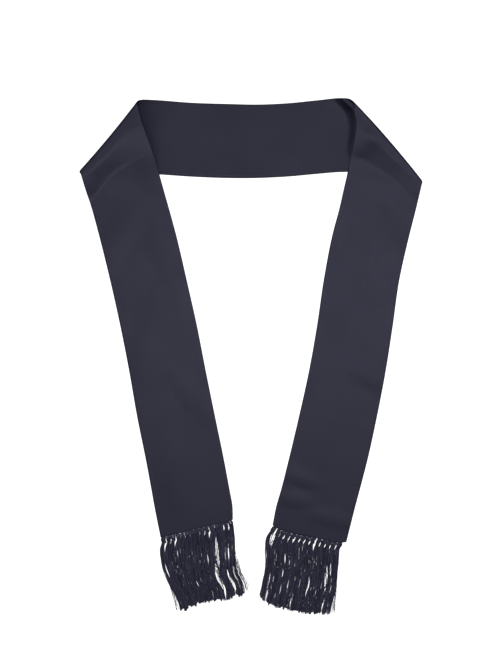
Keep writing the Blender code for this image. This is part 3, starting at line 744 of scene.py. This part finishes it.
TEARDROPS = {
    "left": {1: 0.024, 2: 0.012, 3: 0.019, 9: 0.013, 10: 0.021, 13: 0.013, 14: 0.016},
    "right": {1: 0.030, 2: 0.015, 3: 0.019, 4: 0.0165, 5: 0.0225, 6: 0.019, 7: 0.018}
    | {8: 0.0165, 9: 0.0265, 10: 0.017, 11: 0.0165, 12: 0.0155, 13: 0.015},
}
OPEN_ROOTS = {"left": (1, 3, 10, 13, 14), "right": (1, 9)}
PARTING_REACH = 0.040  # how fast a parting dies out, as a share of the fringe
FRINGE_INSET = 0.0008


def fringe_place(side, place, down, parted=True):
    """Plan position of a strand at a share of the fringe's width and a distance down."""
    start, along, drop = hem_axes(side)
    near, far = (read_rows(SIDES[side], column, down) for column in ("near", "far"))
    for parting in PARTINGS[side] if parted else []:
        middle = (parting.start + parting.end) / 2
        reach = (parting.end - parting.start) / 2
        open_here = eased(1 - np.abs(down - middle) / reach) * parting.wide
        apart = place - parting.place
        push = np.where(apart < 0, -0.5, 0.5) * open_here * np.exp(-np.abs(apart) / PARTING_REACH)
        place = place + push / (far - near)
    inside = mixed(near + FRINGE_INSET, far - FRINGE_INSET, place)
    return start + np.multiply.outer(inside, along) + np.multiply.outer(down, drop)


# -------------------- the threads
# Each tassel is sixty-six fine silk threads in loose strands of three, which leave its knot side
# by side and fan out until they meet the next tassel's. A strand's path is drawn here by given
# rules, and the node tree makes its threads, crimps them and cuts them unevenly.
KNOT_DOWN = {"left": 0.0078, "right": 0.0112}
KNOT_HIGH = 0.0036
KNOT_INSIDE = 0.0018  # how far up inside its knot a strand starts
STRANDS = 22  # in each tassel
STRAND_POINTS = 25
ROOT_CLOSED = 0.86  # how wide a tassel leaves its knot, as a share of its room
ROOT_OPEN = 0.46  # the same, towards a teardrop
CLOSED_LONG = 0.006
TUFT = 5  # strands that end together
TUFT_UNEVEN = 0.0019  # a tuft's end, and the strands' ends in it are a third as uneven
TUFT_LONG = 0.024  # over which they gather to one point, at most this much
TUFT_GATHER = 0.55
STRAND_SWAY = 0.0006
SWAY_LEAST = 0.3  # of the most
SWAY_FULL = 0.05  # down from the hem, where the sway is whole
SWAY_PACE = (60, 190)  # radians to a metre
STRAND_LOW = 0.0008
STRAND_HIGH = 0.0030
TASSEL_UNEVEN = 0.0016  # how much further one tassel's end reaches than the next
THREAD_RADIUS = 0.00034
THREAD_SIDES = 3


def strand_paths(side):
    """A path for each strand of a fringe, from inside its knot to its longest thread's end."""
    _, along, _ = hem_axes(side)
    random = np.random.default_rng({"left": 11, "right": 23}[side])
    paths = []
    for index in range(TASSELS[side]):
        uneven = random.uniform(-1, 1) * TASSEL_UNEVEN
        for strand in range(STRANDS):
            offset = (strand + random.uniform(0.0, 1.0)) / STRANDS - 0.5
            place = (index + 0.5 + offset) / TASSELS[side]
            teardrop = TEARDROPS[side].get(index + (1 if offset > 0 else 0))
            root = ROOT_OPEN if teardrop else ROOT_CLOSED
            opened = teardrop or KNOT_DOWN[side] + CLOSED_LONG
            longest = read_rows(REACHES[side], "long", place) + uneven
            if strand % TUFT == 0:
                tuft = random.uniform(-1, 1) * TUFT_UNEVEN
                gather = random.uniform(0, TUFT_GATHER)
                tuft_middle = min((strand + TUFT / 2) / STRANDS, 1.0) - 0.5
            longest += tuft + random.uniform(-1, 1) * TUFT_UNEVEN / 3
            down = np.linspace(KNOT_DOWN[side] - KNOT_INSIDE, longest, STRAND_POINTS)
            loose = down - KNOT_DOWN[side]
            spread = mixed(root, 1.0, eased(loose / (opened - KNOT_DOWN[side])))
            gathered = gather * eased((down - longest + TUFT_LONG) / TUFT_LONG)
            aside = mixed(offset * spread, tuft_middle, gathered)
            plan = fringe_place(side, (index + 0.5 + aside) / TASSELS[side], down)
            sway = STRAND_SWAY * random.uniform(SWAY_LEAST, 1.0) * eased(down / SWAY_FULL)
            sway = sway * np.sin(random.uniform(0, 6.28) + down * random.uniform(*SWAY_PACE))
            plan = plan + np.multiply.outer(sway, along)
            level = random.uniform(STRAND_LOW, STRAND_HIGH)
            high = mixed(KNOT_HIGH / 2, level, eased(loose / CLOSED_LONG))
            paths.append(np.column_stack([plan, high]).tolist())
    return paths


def thread_tree():
    """The node tree that turns a curve for each strand into its threads."""
    tree, given, result = new_group(
        "GeometryNodeTree",
        "threads_of_strands",
        [
            ("Strands", "Geometry"),
            ("Threads", "Int", 3),
            ("Points", "Int", 26),
            ("Radius", "Float", THREAD_RADIUS),
            ("Strand Width", "Float", 0.0008),
            ("Strand Height", "Float", 0.0010),
            ("Root Share", "Float", 0.8),
            ("Wander", "Float", 0.0005),
            ("Wander Length", "Float", 0.022),
            ("Crimp", "Float", 0.0003),
            ("Crimp Length", "Float", 0.0060),
            ("Shortest", "Float", 0.975),
            ("Floor", "Float", 0.0003),
            ("Seed", "Int", 1),
            ("Material", "Material"),
        ],
        [("Threads", "Geometry")],
    )
    node, worked = partial(add_node, tree), partial(add_math, tree)

    def output(kind, values=(), **settings):
        return node(kind, values, **settings)[0]

    def total(*values):
        return reduce(partial(worked, "ADD"), values)

    def product(*values):
        return reduce(partial(worked, "MULTIPLY"), values)

    def vector(operation, values):
        return output("ShaderNodeVectorMath", values, operation=operation)

    def random_value(low, high, offset):
        values = {"Min": low, "Max": high, "Seed": total(given["Seed"], offset)}
        return node("FunctionNodeRandomValue", values)["Value"]

    def per_thread(low, high, offset):
        """A random value that is the same all along a thread."""
        values = {0: random_value(low, high, offset)}
        return output("GeometryNodeFieldOnDomain", values, domain="CURVE")

    def noise_along(length, offset):
        """A slow noise along each thread, about 0."""
        place = node("GeometryNodeSplineParameter")["Length"]
        values = {"X": worked("DIVIDE", place, length), "Y": per_thread(0.0, 500.0, offset)}
        values = {"Vector": output("ShaderNodeCombineXYZ", values), "Scale": 1.0, "Detail": 1.0}
        noise = node("ShaderNodeTexNoise", values, noise_dimensions="2D")["Fac"]
        return worked("MULTIPLY_ADD", noise, 2.0, -1.0)

    values = {"Curve": given["Strands"], "Count": given["Points"]}
    values = {"Geometry": output("GeometryNodeResampleCurve", values), "Amount": given["Threads"]}
    threads = output("GeometryNodeDuplicateElements", values, domain="SPLINE")

    # Each thread keeps its own place in its strand, wanders from it and is crimped.
    down = node("GeometryNodeSplineParameter")["Factor"]
    loosened = worked("MINIMUM", product(down, 4.0), 1.0)
    root = given["Root Share"]
    spread = total(root, product(loosened, worked("SUBTRACT", 1.0, root)))
    sideways = total(
        product(per_thread(-0.5, 0.5, 10), given["Strand Width"], spread),
        product(per_thread(-1.0, 1.0, 11), given["Wander"], down),
        product(noise_along(given["Wander Length"], 20), given["Wander"], loosened),
        product(noise_along(given["Crimp Length"], 30), given["Crimp"]),
    )
    upwards = total(
        product(per_thread(-0.5, 0.5, 12), given["Strand Height"]),
        product(noise_along(given["Wander Length"], 40), given["Strand Height"], 0.6),
    )
    ahead = output("GeometryNodeInputTangent")
    level = vector("NORMALIZE", {0: vector("CROSS_PRODUCT", {0: ahead, 1: (0.0, 0.0, 1.0)})})
    lifted = output("ShaderNodeCombineXYZ", {"Z": upwards})
    moved = vector("ADD", {0: vector("SCALE", {0: level, "Scale": sideways}), 1: lifted})
    threads = output("GeometryNodeSetPosition", {"Geometry": threads, "Offset": moved})

    # None goes through the floor, and each is cut at its own length.
    place = node("ShaderNodeSeparateXYZ", {0: output("GeometryNodeInputPosition")})
    above = worked("MAXIMUM", place["Z"], total(given["Floor"], given["Radius"]))
    place = output("ShaderNodeCombineXYZ", {"X": place["X"], "Y": place["Y"], "Z": above})
    threads = output("GeometryNodeSetPosition", {"Geometry": threads, "Position": place})
    values = {"Curve": threads, "End": random_value(given["Shortest"], 1.0, 50)}
    values = {"Geometry": output("GeometryNodeTrimCurve", values), "Name": "thread_tone"}
    values["Value"] = per_thread(0.0, 1.0, 60)
    threads = output("GeometryNodeStoreNamedAttribute", values, data_type="FLOAT")

    values = {"Resolution": THREAD_SIDES, "Radius": given["Radius"]}
    profile = output("GeometryNodeCurvePrimitiveCircle", values)
    values = {"Curve": threads, "Profile Curve": profile, "Fill Caps": True}
    threads = output("GeometryNodeCurveToMesh", values)
    threads = output("GeometryNodeSetShadeSmooth", {"Geometry": threads})
    threads = output("GeometryNodeRealizeInstances", {"Geometry": threads})
    values = {"Geometry": threads, "Material": given["Material"]}
    put(tree, result, {"Threads": output("GeometryNodeSetMaterial", values)})
    return tree


def fringe_silk_material():
    """Twisted silk, each thread of its own blue between two, uneven along it."""
    material, tree, shader = new_material("midnight_fringe_silk", {"Roughness": 0.62, **SILK})
    tone = add_node(tree, "ShaderNodeAttribute", attribute_name="thread_tone")["Fac"]
    drawn_out = {"Vector": add_node(tree, "ShaderNodeTexCoord")["Object"]}
    drawn_out["Scale"] = (1.0, 0.12, 1.0)
    place = add_node(tree, "ShaderNodeMapping", drawn_out)["Vector"]
    blues = ((0.030, 0.029, 0.056, 1.0), (0.105, 0.103, 0.172, 1.0))
    dye = dyed(tree, blues, tone, place, scale=480.0, uneven=2.2)
    put(tree, shader, {"Base Color": dye["Colour"]})
    return material


def curves_object(name, paths):
    """A curve object with one straight-sided spline for each list of points."""
    curve = bpy.data.curves.new(name, "CURVE")
    curve.dimensions = "3D"
    for points in paths:
        spline = curve.splines.new("POLY")
        spline.points.add(len(points) - 1)
        flat = [value for point in points for value in (*point, 1.0)]
        spline.points.foreach_set("co", flat)
    return placed(name, curve)


def grown(source, tree, values):
    """The plain mesh object that a node tree makes on a source object, which is removed. The
    tree's named inputs are set by their sockets' identifiers."""
    modifier = source.modifiers.new("grown", "NODES")
    modifier.node_group = tree
    sockets = {item.name: item for item in tree.interface.items_tree if item.in_out == "INPUT"}
    for name, value in values.items():
        modifier[sockets[name].identifier] = value
    bpy.context.view_layer.update()
    graph = bpy.context.evaluated_depsgraph_get()
    mesh = bpy.data.meshes.new_from_object(source.evaluated_get(graph), depsgraph=graph)
    name = source.name
    source.modifiers.remove(modifier)
    bpy.data.objects.remove(source)
    mesh.name = name
    return placed(name, mesh)


threads_tree = thread_tree()
fringe_silk = fringe_silk_material()


def fringe_piece(side, kind, paths, seed, sizes):
    """One piece of a fringe: the threads that the tree makes on its paths."""
    seed += {"left": 100, "right": 300}[side]
    curves = curves_object(f"{side}_fringe_{kind}", paths)
    piece = grown(curves, threads_tree, {"Seed": seed, "Material": fringe_silk, **sizes})
    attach(piece, "root")
    return piece


for side in TASSELS:
    strands = fringe_piece(side, "threads", strand_paths(side), 0, {})
    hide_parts(side + "_fringe")

# -------------------- the legs
# Above its knot a tassel's threads spread to the hem in three short legs, one across the next.
# They are sewn into the hem, and follow its sag.
LEG_APART = 0.0019  # from a tassel's middle line, at the hem
LEG_TOGETHER = 0.0010  # the same, in the knot
LEG_LEAN = 0.0006
LEG_IN_HEM = 0.0006
LEG_OFF_HEM = 0.0008
LEG_BOW = 0.0012
LEG_BOW_OPEN = 0.0002  # towards an open root
LEG_SIZES = {"Threads": 20, "Points": 9, "Strand Width": 0.0030, "Strand Height": 0.0005}
LEG_SIZES |= {"Root Share": 0.9, "Wander": 0.0002, "Crimp": 0.0001, "Shortest": 0.99}


def leg_paths(side):
    """Short paths for each tassel's threads, from inside the hem into its knot."""
    _, along, drop = hem_axes(side)
    random = np.random.default_rng({"left": 3, "right": 9}[side])
    paths = []
    for index in range(TASSELS[side]):
        middle = (index + 0.5) / TASSELS[side]
        lean = random.uniform(-LEG_LEAN, LEG_LEAN)
        knot = fringe_place(side, middle, KNOT_DOWN[side])
        from_inner = 1 - middle if side == "left" else middle
        root = fringe_place(side, middle, 0.0) + drop * hem_sag(side, from_inner)
        for hand in (-1, 0, 1):
            start = root + along * hand * LEG_APART - drop * LEG_IN_HEM
            edge = root + along * hand * LEG_APART + drop * LEG_OFF_HEM
            head = knot + along * (lean + hand * LEG_TOGETHER)
            open_root = index + (1 if hand > 0 else 0) in OPEN_ROOTS[side]
            bow = LEG_BOW_OPEN if open_root else LEG_BOW
            way = mixed(edge, head, 0.5) + along * hand * bow
            low = CLOTH_THICK / 2
            heights = (low, low + 0.0001, KNOT_HIGH * (0.35 + 0.1 * hand), KNOT_HIGH / 2)
            paths.append([(*p, z) for p, z in zip((start, edge, way, head), heights)])
    return paths


for side in TASSELS:
    fringe_piece(side, "legs", leg_paths(side), 1000, LEG_SIZES)

# -------------------- the knots
# Each tassel is tied once, in an overhand knot of its own threads close below the hem: a few
# strands go round it aslant.
KNOT_WRAPS = 4
KNOT_RADIUS = 0.00062
KNOT_HALF_WIDE = 0.0030
KNOT_HALF_HIGH = 0.0013
KNOT_WIDTHS = (0.9, 1.12)  # from the narrowest knot to the widest
KNOT_SLANT = 0.0022
KNOT_OFF_TABLE = 0.0005
WRAP_PITCH = 1.55  # of a strand's radius in the knot
WRAP_NARROWER = 0.09  # for each wrap from the middle
WRAP_TURNS = 1.06
WRAP_STEPS = 16
KNOT_SIZES = {"Threads": 3, "Points": 22, "Strand Width": 0.0009, "Strand Height": 0.0007}
KNOT_SIZES |= {"Root Share": 1.0, "Wander": 0.0002, "Crimp": 0.0001, "Shortest": 0.99}


def knot_paths(side):
    """Paths for the strands that go round each knot."""
    _, along, drop = hem_axes(side)
    random = np.random.default_rng({"left": 5, "right": 7}[side])
    paths = []
    for index in range(TASSELS[side]):
        centre = fringe_place(side, (index + 0.5) / TASSELS[side], KNOT_DOWN[side])
        hand = random.choice([-1, 1])
        wide = random.uniform(*KNOT_WIDTHS)
        for wrap in range(KNOT_WRAPS):
            from_middle = wrap - (KNOT_WRAPS - 1) / 2
            shift = from_middle * KNOT_RADIUS * WRAP_PITCH
            swell = 1 - WRAP_NARROWER * abs(from_middle)
            points = []
            for step in range(WRAP_STEPS + 1):
                done = step / WRAP_STEPS
                turn = 2 * math.pi * done * WRAP_TURNS
                aside = KNOT_HALF_WIDE * swell * wide * math.cos(turn)
                slant = KNOT_SLANT * ((done - 0.5) * hand + 0.5 * math.sin(turn / 2))
                plan = centre + along * aside + drop * (shift + slant * 0.6)
                high = KNOT_RADIUS + KNOT_HALF_HIGH * swell * (1 + math.sin(turn))
                points.append((*plan, KNOT_OFF_TABLE + high))
            paths.append(points)
    return paths


for side in TASSELS:
    fringe_piece(side, "knots", knot_paths(side), 2000, KNOT_SIZES)

# -------------------- the strays
# A few threads have strayed out of their tassels, two by two, across the partings and off the
# sides.
STRAYS = {
    "left": rows_of(
        "place start to_place end",
        (0.985, 0.020, 1.050, 0.112), (0.990, 0.026, 1.042, 0.106), (0.975, 0.030, 1.062, 0.092),
        (0.985, 0.034, 1.036, 0.110), (0.990, 0.022, 1.056, 0.084), (0.995, 0.040, 1.068, 0.108),
        (0.012, 0.060, -0.050, 0.109), (0.010, 0.066, -0.040, 0.103), (0.014, 0.070, -0.034, 0.112),
        (0.775, 0.026, 0.700, 0.098), (0.720, 0.026, 0.770, 0.088), (0.800, 0.040, 0.705, 0.106),
        (0.690, 0.046, 0.748, 0.104), (0.760, 0.020, 0.742, 0.100), (0.735, 0.024, 0.765, 0.094),
        (0.785, 0.036, 0.730, 0.092), (0.890, 0.060, 0.845, 0.112), (0.945, 0.050, 0.905, 0.110),
        (0.960, 0.044, 0.935, 0.108),
    ),
    "right": rows_of(
        "place start to_place end",
        (0.060, 0.014, 0.105, 0.060), (0.110, 0.012, 0.066, 0.052), (0.085, 0.010, 0.080, 0.056),
        (0.120, 0.060, 0.075, 0.106), (0.070, 0.072, 0.112, 0.108), (0.900, 0.040, 0.822, 0.084),
        (0.830, 0.046, 0.890, 0.086), (0.880, 0.050, 0.812, 0.096), (0.815, 0.058, 0.905, 0.104),
        (0.870, 0.060, 0.850, 0.110), (0.845, 0.044, 0.870, 0.100), (0.905, 0.062, 0.840, 0.108),
        (0.620, 0.050, 0.606, 0.094), (0.985, 0.050, 1.046, 0.108), (0.990, 0.058, 1.036, 0.104),
        (0.980, 0.064, 1.056, 0.107), (0.985, 0.072, 1.030, 0.110),
    ),
}
STRAY_SIZES = {"Threads": 2, "Points": 60, "Wander": 0.0012, "Crimp": 0.0010, "Shortest": 0.9}


def stray_paths(side):
    """A path for each pair of strays, from one place and distance down to another."""
    paths = []
    share = np.linspace(0, 1, STRAND_POINTS)
    for stray in STRAYS[side]:
        place = mixed(stray.place, stray.to_place, eased(share))
        plan = fringe_place(side, place, mixed(stray.start, stray.end, share), parted=False)
        high = mixed(STRAND_LOW, STRAND_HIGH, np.sin(math.pi * share))
        paths.append(np.column_stack([plan, high]).tolist())
    return paths


for side in TASSELS:
    fringe_piece(side, "strays", stray_paths(side), 3000, STRAY_SIZES)

# -------------------- the table and the light
# A plain white table, so bright that the scarf's own faint shadow is lost in it. The satin mirrors
# four soft lights overhead, and a fifth stands beyond the neck band.
TABLE_HALF = 4.0
TABLE_DROP = 0.0004


def area_light(name, place, aim, size, watts):
    """A square lamp, facing the point that it is aimed at."""
    lamp = bpy.data.lights.new(name, "AREA")
    lamp.shape = "SQUARE"
    lamp.size = size
    lamp.energy = watts
    made = placed(name, lamp)
    made.location = place
    ahead = np.array(aim) - np.array(place)
    ahead /= np.linalg.norm(ahead)
    side = np.cross(ahead, [0.0, 1.0, 0.0])
    side /= np.linalg.norm(side)
    axes = np.column_stack([side, np.cross(side, ahead), -ahead])
    made.rotation_euler = Matrix(axes.tolist()).to_euler()


corners = [(x * TABLE_HALF, y * TABLE_HALF) for x, y in ((-1, -1), (1, -1), (1, 1), (-1, 1))]
table_mesh = bpy.data.meshes.new("table")
table_mesh.from_pydata([(*corner, -TABLE_DROP) for corner in corners], [], [(0, 1, 2, 3)])
table = placed("table", table_mesh)
white, white_tree, white_shader = new_material(
    "white_table",
    {
        "Base Color": (0.6, 0.6, 0.6, 1.0),
        "Roughness": 0.9,
        "Specular IOR Level": 0.1,
        "Emission Color": (1.0, 1.0, 1.0, 1.0),
    },
)
seen = add_node(white_tree, "ShaderNodeLightPath")["Is Camera Ray"]
put(white_tree, white_shader, {"Emission Strength": seen})
table.data.materials.append(white)

area_light("overhead_right", (0.50, 0.35, 2.42), (0.40, 0.30, 0.0), 0.80, 8.4)
area_light("overhead_left", (-0.25, 0.15, 2.42), (-0.20, 0.15, 0.0), 0.80, 4.9)
area_light("overhead_low", (0.33, -0.25, 2.42), (0.26, -0.20, 0.0), 0.80, 3.8)
area_light("overhead_wide", (0.0, 0.1, 2.6), (0.0, 0.1, 0.0), 2.0, 7.6)
area_light("top", (0.0, 3.0, 3.5), (0.0, 0.1, 0.0), 1.2, 25)
world = bpy.data.worlds.new("studio")
world.use_nodes = True
background = world.node_tree.nodes["Background"].inputs
put(world.node_tree, background, {"Color": (1.0, 1.0, 1.0, 1.0), "Strength": 0.02})
bpy.context.scene.world = world
bpy.context.scene.view_settings.view_transform = "Standard"

# -------------------- the camera
# Straight above, from far enough that nothing leans.
FRAME_HIGH = 0.9753  # metres of table from the picture's top to its bottom
FRAME_MIDDLE = (-0.00319, 0.03442)
LENS = 85.0
SENSOR = 36.0

camera_data = bpy.data.cameras.new("camera")
camera_data.lens = LENS
camera_data.sensor_width = SENSOR
camera = placed("camera", camera_data)
camera.location = (*FRAME_MIDDLE, FRAME_HIGH / SENSOR * LENS)
bpy.context.scene.camera = camera
